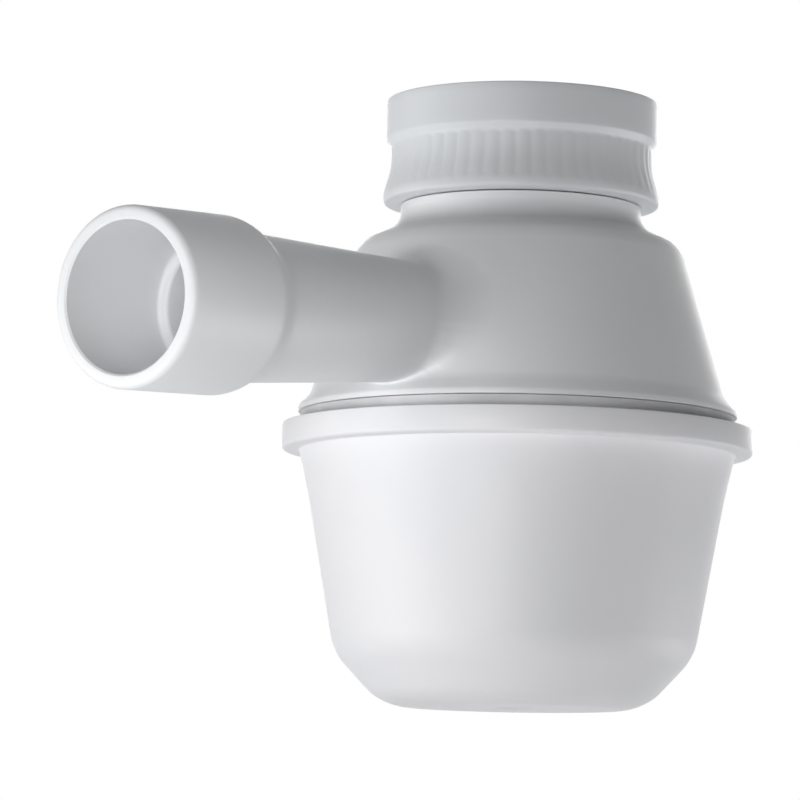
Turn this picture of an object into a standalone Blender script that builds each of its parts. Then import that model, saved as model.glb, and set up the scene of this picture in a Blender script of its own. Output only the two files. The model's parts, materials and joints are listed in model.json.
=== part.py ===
"""Bottle trap for a basin waste, in white moulded plastic.

A captive union nut turns on the neck of a cone-shaped body. A dip tube hangs
in the neck and carries the water down into a cup that screws off for cleaning.
The outlet runs sideways from the body and ends in a socket for a waste pipe.

The frame: the origin is the centre of the flat under the cup, +Z is up and
the outlet runs towards -X, falling a little. All sizes are in metres.
"""

import math

import bmesh
import bpy
from mathutils import Matrix

# Fits, walls and small edges
SEAT_GAP = 0.0003
TUBE_FIT = 0.0003
BODY_WALL = 0.0025
CUP_WALL = 0.0026
EDGE = 0.0006
CHAMFER = 0.0008

# Screwed joint between the body's skirt and the cup's mouth
SKIRT_RADIUS = 0.0459
SKIRT_WALL = 0.0021
SKIRT_LENGTH = 0.0112
THREAD_ROOM = 0.0016
SKIRT_CLEARANCE = 0.0004

# Cup: a bowl that narrows from its flange down to a bevelled base
CUP_MOUTH_WALL = 0.0025
CUP_FLARE_WIDTH = 0.0024
CUP_DRAFT_WIDTH = 0.0064
CUP_BEVEL_WIDTH = 0.0114
CUP_BEVEL_HEIGHT = 0.0122
CUP_SIDE_HEIGHT = 0.0358
CUP_FLARE_HEIGHT = 0.0107
FLANGE_WIDTH = 0.0041
FLANGE_THICKNESS = 0.0056
CUP_BASE_ROUND = 0.012
CUP_BEVEL_ROUND = 0.012
CUP_WAIST_ROUND = 0.025

# Flat ring that seals the cup
CUP_SEAL_THICKNESS = 0.0022
CUP_SEAL_WIDTH = 0.0037

# Dip tube
DIP_TUBE_RADIUS = 0.0178
DIP_TUBE_WALL = 0.0019
DIP_TUBE_FOOT = 0.020
DIP_FLANGE_WIDTH = 0.0023
DIP_FLANGE_THICKNESS = 0.0015

# Neck: the nut turns under its flange, the dip tube hangs in its rebate
NECK_WALL = 0.0026
NECK_FLANGE_WIDTH = 0.0016
NECK_FLANGE_THICKNESS = 0.0046
REBATE_DEPTH = 0.0019

# Body: a lip over the seal, a cone, a sloping shoulder and a low boss under the nut
LIP_WIDTH = 0.0046
LIP_HEIGHT = 0.0012
LIP_FLARE_HEIGHT = 0.0029
CONE_OVER_SKIRT = 0.0018
CONE_HEIGHT = 0.0350
CONE_BASE_WALL = 0.0037
CONE_BASE_ROUND = 0.004
CONE_TOP_ROUND = 0.0035
SHOULDER_WIDTH = 0.0095
SHOULDER_RISE = 0.0043
BOSS_WIDTH = 0.0070
BOSS_HEIGHT = 0.0050

# Outlet, measured along its own axis from the body's axis
OUTLET_ABOVE_LIP = 0.0193
OUTLET_FALL_DEG = 3.0
OUTLET_LENGTH = 0.139
OUTLET_ROOT_RADIUS = 0.0137
OUTLET_TAPER = 0.0025
OUTLET_TUBE_WALL = 0.0023
SOCKET_BORE_RADIUS = 0.0161
SOCKET_WALL = 0.0031
SOCKET_END_ROUND = 0.0015
SOCKET_LEAD_IN = 0.0004
SOCKET_DEPTH = 0.030
SOCKET_BEVEL_LENGTH = 0.006
ROOT_FLARE_LENGTH = 0.0135
ROOT_FLARE_RISE = 0.0065
ROOT_FLARE_ROUND = 0.012
ROOT_FLARE_BURIED = 0.0037

# Union nut, with a female thread of 1 1/2 inch size in its socket
NUT_HEIGHT = 0.0240
NUT_LIP_THICKNESS = 0.003
NUT_PLAY = 0.0004
NUT_RUNNING_FIT = 0.0005
NUT_SOCKET_ROOM = 0.0018
NUT_WALL = 0.00685
NUT_BAND_HEIGHT = 0.0092
NUT_BAND_BEVEL = 0.0014
NUT_FOOT_OUT = 0.00095
NUT_FOOT_HEIGHT = 0.0022
NUT_WAIST_IN = 0.00085
NUT_WAIST_HEIGHT = 0.0065
NUT_RIBS = 54
NUT_RIB_DEPTH = 0.0006

# Flat washer in the nut
WASHER_THICKNESS = 0.0026
WASHER_WIDTH = 0.0060

# Sides of the turned forms
LARGE_SIDES = 54
TUBE_SIDES = 40
OUTLET_SIDES = 36
ARC_STEP = math.radians(18)

# How far a cutter runs past the face that it opens
CUT_OVERRUN = 0.003

# Radii that follow from the sizes above, outwards from the skirt and from the dip tube
CUP_BORE_RADIUS = SKIRT_RADIUS + THREAD_ROOM
FLANGE_ROOT_RADIUS = CUP_BORE_RADIUS + CUP_MOUTH_WALL
FLANGE_RADIUS = FLANGE_ROOT_RADIUS + FLANGE_WIDTH
CUP_WAIST_RADIUS = FLANGE_ROOT_RADIUS - CUP_FLARE_WIDTH
CUP_BEVEL_RADIUS = CUP_WAIST_RADIUS - CUP_DRAFT_WIDTH
CUP_BASE_RADIUS = CUP_BEVEL_RADIUS - CUP_BEVEL_WIDTH
CUP_SEAL_INNER = SKIRT_RADIUS + SEAT_GAP
LIP_RADIUS = SKIRT_RADIUS + LIP_WIDTH
CONE_BASE_RADIUS = SKIRT_RADIUS + CONE_OVER_SKIRT
NECK_BORE_RADIUS = DIP_TUBE_RADIUS + TUBE_FIT
NECK_RADIUS = NECK_BORE_RADIUS + NECK_WALL
NECK_FLANGE_RADIUS = NECK_RADIUS + NECK_FLANGE_WIDTH
DIP_FLANGE_RADIUS = DIP_TUBE_RADIUS + DIP_FLANGE_WIDTH
REBATE_RADIUS = DIP_FLANGE_RADIUS + TUBE_FIT
BOSS_RADIUS = NECK_RADIUS + BOSS_WIDTH
CONE_TOP_RADIUS = BOSS_RADIUS + SHOULDER_WIDTH
NUT_BORE_RADIUS = NECK_FLANGE_RADIUS + NUT_SOCKET_ROOM
NUT_BAND_RADIUS = NUT_BORE_RADIUS + NUT_WALL
NUT_FOOT_RADIUS = NUT_BAND_RADIUS + NUT_FOOT_OUT
NUT_WAIST_RADIUS = NUT_BAND_RADIUS - NUT_WAIST_IN
OUTLET_TUBE_RADIUS = OUTLET_ROOT_RADIUS + OUTLET_TAPER
SOCKET_RADIUS = SOCKET_BORE_RADIUS + SOCKET_WALL

# Heights that follow, from the cup's base upwards
CUP_WAIST_HEIGHT = CUP_BEVEL_HEIGHT + CUP_SIDE_HEIGHT
FLANGE_UNDERSIDE = CUP_WAIST_HEIGHT + CUP_FLARE_HEIGHT
CUP_RIM = FLANGE_UNDERSIDE + FLANGE_THICKNESS
CUP_SEAL_FOOT = CUP_RIM + SEAT_GAP
LIP_UNDERSIDE = CUP_SEAL_FOOT + CUP_SEAL_THICKNESS + SEAT_GAP
SKIRT_FOOT = LIP_UNDERSIDE - SKIRT_LENGTH
CUP_LEDGE = SKIRT_FOOT - SKIRT_CLEARANCE
CONE_BASE = LIP_UNDERSIDE + LIP_HEIGHT + LIP_FLARE_HEIGHT
CONE_TOP = CONE_BASE + CONE_HEIGHT
BOSS_FOOT = CONE_TOP + SHOULDER_RISE
BOSS_TOP = BOSS_FOOT + BOSS_HEIGHT
NUT_FOOT = BOSS_TOP + SEAT_GAP
NUT_SOCKET_FLOOR = NUT_FOOT + NUT_LIP_THICKNESS
NECK_FLANGE_UNDERSIDE = NUT_SOCKET_FLOOR + NUT_PLAY
NECK_TOP = NECK_FLANGE_UNDERSIDE + NECK_FLANGE_THICKNESS
REBATE_FLOOR = NECK_TOP - REBATE_DEPTH
DIP_FLANGE_UNDERSIDE = REBATE_FLOOR + SEAT_GAP
DIP_TUBE_TOP = DIP_FLANGE_UNDERSIDE + DIP_FLANGE_THICKNESS
WASHER_FOOT = NECK_TOP + SEAT_GAP
OUTLET_HEIGHT = LIP_UNDERSIDE + OUTLET_ABOVE_LIP


def mitred_inset(points, wall):
    """Move a chain of (radius, height) points to its left by one wall, with mitred corners."""
    normals = []
    for (r0, z0), (r1, z1) in zip(points, points[1:]):
        length = math.hypot(r1 - r0, z1 - z0)
        normals.append((-(z1 - z0) / length, (r1 - r0) / length))
    inset = [(points[0][0] + wall * normals[0][0], points[0][1] + wall * normals[0][1])]
    for (r, z), (ar, az), (br, bz) in zip(points[1:-1], normals, normals[1:]):
        scale = wall / (1 + ar * br + az * bz)
        inset.append((r + scale * (ar + br), z + scale * (az + bz)))
    inset.append((points[-1][0] + wall * normals[-1][0], points[-1][1] + wall * normals[-1][1]))
    return inset


def radius_at(start, end, height):
    """Radius at a height on the straight line between two (radius, height) points."""
    share = (height - start[1]) / (end[1] - start[1])
    return start[0] + share * (end[0] - start[0])


def rounded(corners, closed):
    """Turn (radius, height, rounding) corners into points, each rounded corner as an arc.

    A rounding is limited by the straight lengths beside its corner.
    """
    count = len(corners)
    points = []
    for index, (r, z, rounding) in enumerate(corners):
        at_end = not closed and index in (0, count - 1)
        if rounding == 0 or at_end:
            points.append((r, z))
            continue
        before = corners[index - 1]
        after = corners[(index + 1) % count]
        back = (before[0] - r, before[1] - z)
        ahead = (after[0] - r, after[1] - z)
        back_length = math.hypot(*back)
        ahead_length = math.hypot(*ahead)
        back = (back[0] / back_length, back[1] / back_length)
        ahead = (ahead[0] / ahead_length, ahead[1] / ahead_length)
        opening = math.acos(max(-1.0, min(1.0, back[0] * ahead[0] + back[1] * ahead[1])))
        tangent = min(rounding / math.tan(opening / 2), 0.45 * back_length, 0.45 * ahead_length)
        arc_radius = tangent * math.tan(opening / 2)
        middle = (back[0] + ahead[0], back[1] + ahead[1])
        middle_length = math.hypot(*middle)
        reach = math.hypot(arc_radius, tangent)
        centre = (r + reach * middle[0] / middle_length, z + reach * middle[1] / middle_length)
        start = (r + tangent * back[0] - centre[0], z + tangent * back[1] - centre[1])
        end = (r + tangent * ahead[0] - centre[0], z + tangent * ahead[1] - centre[1])
        turn = math.atan2(start[0] * end[1] - start[1] * end[0], start[0] * end[0] + start[1] * end[1])
        steps = max(1, round(abs(turn) / ARC_STEP))
        for step in range(steps + 1):
            angle = turn * step / steps
            cos, sin = math.cos(angle), math.sin(angle)
            points.append((centre[0] + cos * start[0] - sin * start[1],
                           centre[1] + sin * start[0] + cos * start[1]))
    return points


def turned_mesh(corners, sides, closed, foot):
    """Spin an outline about Z. A closed outline is a ring; an open one ends on the axis."""
    bm = bmesh.new()
    verts = [bm.verts.new((r, 0.0, z - foot)) for r, z in rounded(corners, closed)]
    edges = [bm.edges.new(pair) for pair in zip(verts, verts[1:])]
    if closed:
        edges.append(bm.edges.new((verts[-1], verts[0])))
    bmesh.ops.spin(bm, geom=verts + edges, cent=(0, 0, 0), axis=(0, 0, 1),
                   angle=math.tau, steps=sides, use_merge=True)
    bmesh.ops.remove_doubles(bm, verts=bm.verts, dist=0.000001)
    bmesh.ops.recalc_face_normals(bm, faces=bm.faces)
    return bm


def finish(bm, name, foot, parent):
    """Write the mesh to a named object that stands at its foot on the Z axis."""
    mesh = bpy.data.meshes.new(name)
    bm.to_mesh(mesh)
    bm.free()
    mesh.shade_smooth()
    mesh.set_sharp_from_angle(angle=math.radians(35))
    piece = bpy.data.objects.new(name, mesh)
    piece.location = (0, 0, foot)
    piece.parent = parent
    bpy.context.scene.collection.objects.link(piece)
    return piece


def plastic(name, colour, roughness):
    """A moulded finish as a Principled material."""
    material = bpy.data.materials.new(name)
    material.use_nodes = True
    shader = material.node_tree.nodes["Principled BSDF"]
    shader.inputs["Base Color"].default_value = (*colour, 1)
    shader.inputs["Roughness"].default_value = roughness
    shader.inputs["Metallic"].default_value = 0
    return material


def boolean(piece, cutter, operation):
    """Join or cut a piece with a hidden form."""
    cutter.hide_render = True
    cutter.display_type = "WIRE"
    modifier = piece.modifiers.new(cutter.name, "BOOLEAN")
    modifier.operation = operation
    modifier.solver = "EXACT"
    modifier.object = cutter


def make_cup(parent):
    """Bowl with a bevelled base, one even wall, and a flange round its threaded mouth."""
    outside = [
        (0, 0),
        (CUP_BASE_RADIUS, 0),
        (CUP_BEVEL_RADIUS, CUP_BEVEL_HEIGHT),
        (CUP_WAIST_RADIUS, CUP_WAIST_HEIGHT),
        (FLANGE_ROOT_RADIUS, FLANGE_UNDERSIDE),
    ]
    inside = mitred_inset(outside, CUP_WALL)
    ledge_radius = radius_at(inside[3], inside[4], CUP_LEDGE)
    outline = [
        (*outside[0], 0),
        (*outside[1], CUP_BASE_ROUND),
        (*outside[2], CUP_BEVEL_ROUND),
        (*outside[3], CUP_WAIST_ROUND),
        (*outside[4], EDGE),
        (FLANGE_RADIUS, FLANGE_UNDERSIDE, CHAMFER),
        (FLANGE_RADIUS, CUP_RIM, CHAMFER),
        (CUP_BORE_RADIUS + EDGE, CUP_RIM, 0),
        (CUP_BORE_RADIUS, CUP_RIM - EDGE, 0),
        (CUP_BORE_RADIUS, CUP_LEDGE, 0),
        (ledge_radius, CUP_LEDGE, 0),
        (*inside[3], CUP_WAIST_ROUND + CUP_WALL),
        (*inside[2], CUP_BEVEL_ROUND - CUP_WALL),
        (*inside[1], CUP_BASE_ROUND - CUP_WALL),
        (*inside[0], 0),
    ]
    return finish(turned_mesh(outline, LARGE_SIDES, False, 0), "cup", 0, parent)


def make_cup_seal(parent):
    """Flat ring between the cup's rim and the body's lip."""
    outer = CUP_SEAL_INNER + CUP_SEAL_WIDTH
    top = CUP_SEAL_FOOT + CUP_SEAL_THICKNESS
    outline = [
        (CUP_SEAL_INNER, CUP_SEAL_FOOT, 0),
        (outer, CUP_SEAL_FOOT, 0),
        (outer, top, 0),
        (CUP_SEAL_INNER, top, 0),
    ]
    bm = turned_mesh(outline, LARGE_SIDES, True, CUP_SEAL_FOOT)
    return finish(bm, "cup_seal", CUP_SEAL_FOOT, parent)


def body_outline():
    """Outside of the body without its outlet, solid to the axis, from the top down."""
    return [
        (0, NECK_TOP, 0),
        (NECK_FLANGE_RADIUS, NECK_TOP, 0),
        (NECK_FLANGE_RADIUS, NECK_FLANGE_UNDERSIDE, 0),
        (NECK_RADIUS, NECK_FLANGE_UNDERSIDE, 0),
        (NECK_RADIUS, BOSS_TOP, 0),
        (BOSS_RADIUS, BOSS_TOP, CHAMFER),
        (BOSS_RADIUS, BOSS_FOOT, CHAMFER),
        (CONE_TOP_RADIUS, CONE_TOP, CONE_TOP_ROUND),
        (CONE_BASE_RADIUS, CONE_BASE, CONE_BASE_ROUND),
        (LIP_RADIUS, LIP_UNDERSIDE + LIP_HEIGHT, EDGE),
        (LIP_RADIUS, LIP_UNDERSIDE, 0),
        (SKIRT_RADIUS, LIP_UNDERSIDE, 0),
        (SKIRT_RADIUS, SKIRT_FOOT + EDGE, 0),
        (SKIRT_RADIUS - EDGE, SKIRT_FOOT, 0),
        (0, SKIRT_FOOT, 0),
    ]


def cavity_outline():
    """Room inside the body, open below the skirt and through the neck, from the bottom up."""
    skirt_bore = SKIRT_RADIUS - SKIRT_WALL
    cone_foot = (CONE_BASE_RADIUS - CONE_BASE_WALL, CONE_BASE)
    roof = mitred_inset([(CONE_BASE_RADIUS, CONE_BASE), (CONE_TOP_RADIUS, CONE_TOP),
                         (BOSS_RADIUS, BOSS_FOOT), (0, BOSS_FOOT)], BODY_WALL)
    return [
        (0, SKIRT_FOOT - CUT_OVERRUN, 0),
        (skirt_bore, SKIRT_FOOT - CUT_OVERRUN, 0),
        (skirt_bore, LIP_UNDERSIDE, 0),
        (*cone_foot, 0),
        (*roof[1], CONE_TOP_ROUND),
        (*roof[2], CHAMFER),
        (NECK_BORE_RADIUS, roof[2][1], 0),
        (NECK_BORE_RADIUS, REBATE_FLOOR, 0),
        (REBATE_RADIUS, REBATE_FLOOR, 0),
        (REBATE_RADIUS, NECK_TOP + CUT_OVERRUN, 0),
        (0, NECK_TOP + CUT_OVERRUN, 0),
    ]


def outlet_form(name, outline, parent):
    """Turn an outline of (distance, radius) along the outlet's axis, which falls from the body."""
    corners = [(radius, distance, rounding) for distance, radius, rounding in outline]
    bm = turned_mesh(corners, OUTLET_SIDES, False, 0)
    to_outlet = Matrix.Rotation(-math.radians(90 + OUTLET_FALL_DEG), 4, "Y")
    bm.transform(Matrix.Translation((0, 0, OUTLET_HEIGHT)) @ to_outlet)
    return finish(bm, name, 0, parent)


def make_trap_body(parent):
    """One moulding: skirt, cone, shoulder, neck and the outlet with its pipe socket."""
    body = finish(turned_mesh(body_outline(), LARGE_SIDES, False, 0), "trap_body", 0, parent)
    socket_start = OUTLET_LENGTH - SOCKET_DEPTH
    bevel_start = socket_start - SOCKET_BEVEL_LENGTH
    root_start = CONE_TOP_RADIUS - ROOT_FLARE_BURIED
    root_end = root_start + ROOT_FLARE_LENGTH
    outside = outlet_form("outlet_outside", [
        (root_start, 0, 0),
        (root_start, OUTLET_ROOT_RADIUS + ROOT_FLARE_RISE, 0),
        (root_end, OUTLET_ROOT_RADIUS, ROOT_FLARE_ROUND),
        (bevel_start, OUTLET_TUBE_RADIUS, CHAMFER),
        (socket_start, SOCKET_RADIUS, CHAMFER),
        (OUTLET_LENGTH, SOCKET_RADIUS, SOCKET_END_ROUND),
        (OUTLET_LENGTH, 0, 0),
    ], parent)
    cavity = finish(turned_mesh(cavity_outline(), LARGE_SIDES, False, 0), "cavity_form", 0, parent)
    bore = outlet_form("outlet_bore", [
        (root_start - CUT_OVERRUN, 0, 0),
        (root_start - CUT_OVERRUN, OUTLET_ROOT_RADIUS - OUTLET_TUBE_WALL, 0),
        (socket_start, OUTLET_TUBE_RADIUS - OUTLET_TUBE_WALL, 0),
        (socket_start, SOCKET_BORE_RADIUS, 0),
        (OUTLET_LENGTH - SOCKET_LEAD_IN, SOCKET_BORE_RADIUS, 0),
        (OUTLET_LENGTH + CUT_OVERRUN, SOCKET_BORE_RADIUS + SOCKET_LEAD_IN + CUT_OVERRUN, 0),
        (OUTLET_LENGTH + CUT_OVERRUN, 0, 0),
    ], parent)
    boolean(body, outside, "UNION")
    boolean(body, cavity, "DIFFERENCE")
    boolean(body, bore, "DIFFERENCE")
    return body


def make_dip_tube(parent):
    """Straight tube that hangs in the neck by a thin flange."""
    bore = DIP_TUBE_RADIUS - DIP_TUBE_WALL
    outline = [
        (bore, DIP_TUBE_FOOT, 0),
        (DIP_TUBE_RADIUS - EDGE, DIP_TUBE_FOOT, 0),
        (DIP_TUBE_RADIUS, DIP_TUBE_FOOT + EDGE, 0),
        (DIP_TUBE_RADIUS, DIP_FLANGE_UNDERSIDE, 0),
        (DIP_FLANGE_RADIUS, DIP_FLANGE_UNDERSIDE, 0),
        (DIP_FLANGE_RADIUS, DIP_TUBE_TOP, 0),
        (bore + EDGE, DIP_TUBE_TOP, 0),
        (bore, DIP_TUBE_TOP - EDGE, 0),
    ]
    bm = turned_mesh(outline, TUBE_SIDES, True, DIP_TUBE_FOOT)
    return finish(bm, "dip_tube", DIP_TUBE_FOOT, parent)


def make_inlet_washer(parent):
    """Flat ring in the nut's socket that the basin waste is screwed down on."""
    outer = NECK_FLANGE_RADIUS
    inner = outer - WASHER_WIDTH
    top = WASHER_FOOT + WASHER_THICKNESS
    outline = [
        (inner, WASHER_FOOT, 0),
        (outer, WASHER_FOOT, 0),
        (outer, top, 0),
        (inner, top, 0),
    ]
    bm = turned_mesh(outline, TUBE_SIDES, True, WASHER_FOOT)
    return finish(bm, "inlet_washer", WASHER_FOOT, parent)


def make_union_nut(parent):
    """Nut with a plain band, a ribbed waist, a wider foot and a lip that turns on the neck."""
    lip_bore = NECK_RADIUS + NUT_RUNNING_FIT
    top = NUT_FOOT + NUT_HEIGHT
    band_foot = top - NUT_BAND_HEIGHT
    rib_foot = NUT_FOOT + NUT_FOOT_HEIGHT
    rib_top = band_foot - NUT_BAND_BEVEL
    outline = [
        (lip_bore, NUT_FOOT + EDGE, 0),
        (lip_bore + EDGE, NUT_FOOT, 0),
        (NUT_FOOT_RADIUS - CHAMFER, NUT_FOOT, 0),
        (NUT_FOOT_RADIUS, NUT_FOOT + CHAMFER, 0),
        (NUT_FOOT_RADIUS, rib_foot, 0),
        (NUT_WAIST_RADIUS, rib_top - NUT_WAIST_HEIGHT, 0),
        (NUT_WAIST_RADIUS, rib_top, 0),
        (NUT_BAND_RADIUS, band_foot, 0),
        (NUT_BAND_RADIUS, top - CHAMFER, 0),
        (NUT_BAND_RADIUS - CHAMFER, top, 0),
        (NUT_BORE_RADIUS + CHAMFER, top, 0),
        (NUT_BORE_RADIUS, top - CHAMFER, 0),
        (NUT_BORE_RADIUS, NUT_SOCKET_FLOOR, 0),
        (lip_bore, NUT_SOCKET_FLOOR, 0),
    ]
    sides = 2 * NUT_RIBS
    bm = turned_mesh(outline, sides, True, NUT_FOOT)
    for vert in bm.verts:
        radius = math.hypot(vert.co.x, vert.co.y)
        on_waist = rib_foot - NUT_FOOT + EDGE / 2 < vert.co.z < band_foot - NUT_FOOT - EDGE / 2
        if not on_waist or radius < NUT_BORE_RADIUS + EDGE:
            continue
        position = math.atan2(vert.co.y, vert.co.x) * sides / math.tau
        if round(position) % 2:
            vert.co.x *= 1 - NUT_RIB_DEPTH / radius
            vert.co.y *= 1 - NUT_RIB_DEPTH / radius
    return finish(bm, "union_nut", NUT_FOOT, parent)


def main():
    for old in list(bpy.data.objects):
        bpy.data.objects.remove(old, do_unlink=True)
    trap = bpy.data.objects.new("bottle_trap", None)
    bpy.context.scene.collection.objects.link(trap)
    body_plastic = plastic("white_body_plastic", (0.80, 0.81, 0.82), 0.30)
    cup_plastic = plastic("white_cup_plastic", (0.82, 0.82, 0.84), 0.28)
    nut_plastic = plastic("white_nut_plastic", (0.78, 0.80, 0.82), 0.34)
    tube_plastic = plastic("white_tube_plastic", (0.80, 0.80, 0.80), 0.35)
    washer_rubber = plastic("washer_rubber", (0.03, 0.03, 0.03), 0.70)
    seal_rubber = plastic("seal_rubber", (0.60, 0.60, 0.58), 0.70)
    pieces = [
        (make_trap_body(trap), body_plastic),
        (make_cup(trap), cup_plastic),
        (make_cup_seal(trap), seal_rubber),
        (make_dip_tube(trap), tube_plastic),
        (make_inlet_washer(trap), washer_rubber),
        (make_union_nut(trap), nut_plastic),
    ]
    for piece, material in pieces:
        piece.data.materials.append(material)


main()
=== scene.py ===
"""Looks of a white plastic bottle trap, laid out as a Blender add-on.

Each operator models one piece, or two rings alike, at its real place in the packed
frame, in metres, and another sets the floor, the light and the camera. main() runs
them in order. The camera looks past the outlet's open end and a little upwards.
"""

import json
import math

import bmesh
import bpy
from bpy.props import FloatProperty, FloatVectorProperty, IntProperty, PointerProperty
from mathutils import Matrix, Vector
from mathutils.bvhtree import BVHTree


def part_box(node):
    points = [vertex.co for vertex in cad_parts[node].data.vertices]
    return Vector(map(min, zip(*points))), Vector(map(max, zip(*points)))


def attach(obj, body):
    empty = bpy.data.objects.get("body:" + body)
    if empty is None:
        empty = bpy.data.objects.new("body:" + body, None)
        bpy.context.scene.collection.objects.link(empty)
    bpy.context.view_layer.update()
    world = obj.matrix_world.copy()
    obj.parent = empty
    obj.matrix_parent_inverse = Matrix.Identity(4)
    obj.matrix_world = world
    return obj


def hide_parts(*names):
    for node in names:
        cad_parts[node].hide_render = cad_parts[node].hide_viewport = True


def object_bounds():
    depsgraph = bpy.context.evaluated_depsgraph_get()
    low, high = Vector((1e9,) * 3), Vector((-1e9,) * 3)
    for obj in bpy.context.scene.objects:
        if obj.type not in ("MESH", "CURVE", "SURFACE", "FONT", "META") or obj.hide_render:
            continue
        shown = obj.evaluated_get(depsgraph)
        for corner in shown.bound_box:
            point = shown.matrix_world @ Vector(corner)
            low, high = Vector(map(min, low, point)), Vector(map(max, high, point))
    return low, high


bl_info = {
    "name": "Bottle trap",
    "version": (1, 0, 0),
    "blender": (4, 5, 0),
    "location": "3D View > Sidebar > Bottle trap",
    "description": "Models and finishes the pieces of a white plastic bottle trap",
    "category": "Add Mesh",
}

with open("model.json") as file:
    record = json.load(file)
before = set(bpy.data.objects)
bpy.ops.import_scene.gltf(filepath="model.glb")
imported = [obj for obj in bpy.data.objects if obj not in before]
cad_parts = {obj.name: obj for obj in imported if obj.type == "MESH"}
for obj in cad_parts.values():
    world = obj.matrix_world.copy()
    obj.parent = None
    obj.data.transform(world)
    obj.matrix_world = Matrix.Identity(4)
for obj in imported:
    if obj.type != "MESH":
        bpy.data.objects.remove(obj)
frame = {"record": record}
CAD_LOW, CAD_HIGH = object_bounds()

BODY_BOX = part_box("trap_body")
CUP_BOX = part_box("cup")
SEAL_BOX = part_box("cup_seal")
TUBE_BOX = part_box("dip_tube")
WASHER_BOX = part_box("inlet_washer")
NUT_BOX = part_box("union_nut")

# Fineness of the turned forms
LARGE_SIDES = 192
TUBE_SIDES = 144
RIB_SIDES = 8
ARC_CHORD = 0.00045
FEWEST_ARC_STEPS = 3
SHARP_ANGLE = math.radians(32)
MERGE_DISTANCE = 0.000001

# Small roundings that every moulded edge has
FINE_EDGE = 0.00035
SOFT_EDGE = 0.0008

# How far a cutter runs past the face that it opens, and how deep a ridge is sunk in its wall
CUT_OVERRUN = 0.003
RIDGE_SUNK = 0.0003

# Gap between seated pieces
SEAT_GAP = 0.0003

# Coarse thread between the cup and the body's skirt, with its ridge's widths at root and crest
CUP_THREAD_PITCH = 0.0045
CUP_THREAD_ROOT_WIDTH = 0.0021
CUP_THREAD_CREST_WIDTH = 0.0011


def length(name, description, default):
    """A length in metres that a user may change."""
    return FloatProperty(name=name, description=description, default=default, min=0.0,
                         precision=5, subtype="DISTANCE", unit="LENGTH")


def rounding(name, default):
    """How far from its corner a rounding starts, which a user may change."""
    return length(name, "How far from its corner this rounding starts", default)


def turn_count(name, description, default):
    """A number of turns of a thread that a user may change."""
    return FloatProperty(name=name, description=description, default=default, min=0.5)


def angle(name, description, default):
    """An angle that a user may change, given in degrees and kept in radians."""
    return FloatProperty(name=name, description=description, default=math.radians(default),
                         subtype="ANGLE", unit="ROTATION")


def share(name, description, default):
    """A factor from 0 to 1 that a user may change."""
    return FloatProperty(name=name, description=description, default=default,
                         min=0.0, max=1.0, subtype="FACTOR")


def spot(name, description, default):
    """A place in metres that a user may change."""
    return FloatVectorProperty(name=name, description=description, default=default,
                               size=3, subtype="TRANSLATION", unit="LENGTH")


def colour(name, description, default):
    """A linear colour that a user may change."""
    return FloatVectorProperty(name=name, description=description, default=default,
                               size=3, min=0.0, max=1.0, subtype="COLOR")


class CupSizes(bpy.types.PropertyGroup):
    """Sizes of the cup, with heights above its base"""
    rim: length("Rim", "Height of the rim of the mouth", CUP_BOX[1].z)
    flange_radius: length("Flange radius", "Radius of the flange round the mouth", CUP_BOX[1].y)
    flange_foot: length("Flange foot", "Height of the underside of the flange", 0.0584)
    flange_root: length("Flange root", "Radius of the bowl just under the flange", 0.0500)
    waist_radius: length("Waist radius", "Radius of the bowl where its mouth starts to flare", 0.0476)
    waist_height: length("Waist height", "Height at which the mouth starts to flare", 0.048)
    bevel_radius: length("Bevel radius", "Radius at the top of the bevelled base", 0.0412)
    bevel_height: length("Bevel height", "Height of the bevelled base", 0.0122)
    base_radius: length("Base radius", "Radius of the base before its edge is rounded", 0.0298)
    waist_round: rounding("Waist rounding", 0.0045)
    bevel_round: rounding("Bevel rounding", 0.0036)
    base_round: rounding("Base rounding", 0.0052)
    bevel_round_inside: rounding("Bevel rounding inside", 0.0029)
    base_round_inside: rounding("Base rounding inside", 0.0041)
    gate_radius: length("Gate radius", "Radius of the sunk gate mark under the base", 0.0040)
    gate_depth: length("Gate depth", "Depth of that mark", 0.0003)
    gate_slope: length("Gate slope", "Width of the slope round that mark", 0.0009)
    stub_radius: length("Stub radius", "Radius of the cut-off stub in that mark", 0.0010)
    stub_height: length("Stub height", "Height of that stub", 0.0002)
    mouth_bore: length("Mouth bore", "Radius of the wall at the root of the mouth's thread", 0.0475)
    mouth_ledge: length("Mouth ledge", "Height of the ledge under the mouth's thread",
                        BODY_BOX[0].z - 0.0004)
    thread_crest: length("Thread crest", "Radius at the crest of the mouth's thread", 0.0462)
    thread_start: length("Thread start", "Height of the thread's start over the ledge", 0.00145)
    thread_turns: turn_count("Thread turns", "Turns of the mouth's thread", 1.1)
    wall: length("Wall", "Thickness of the bowl", 0.0026)


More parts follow.
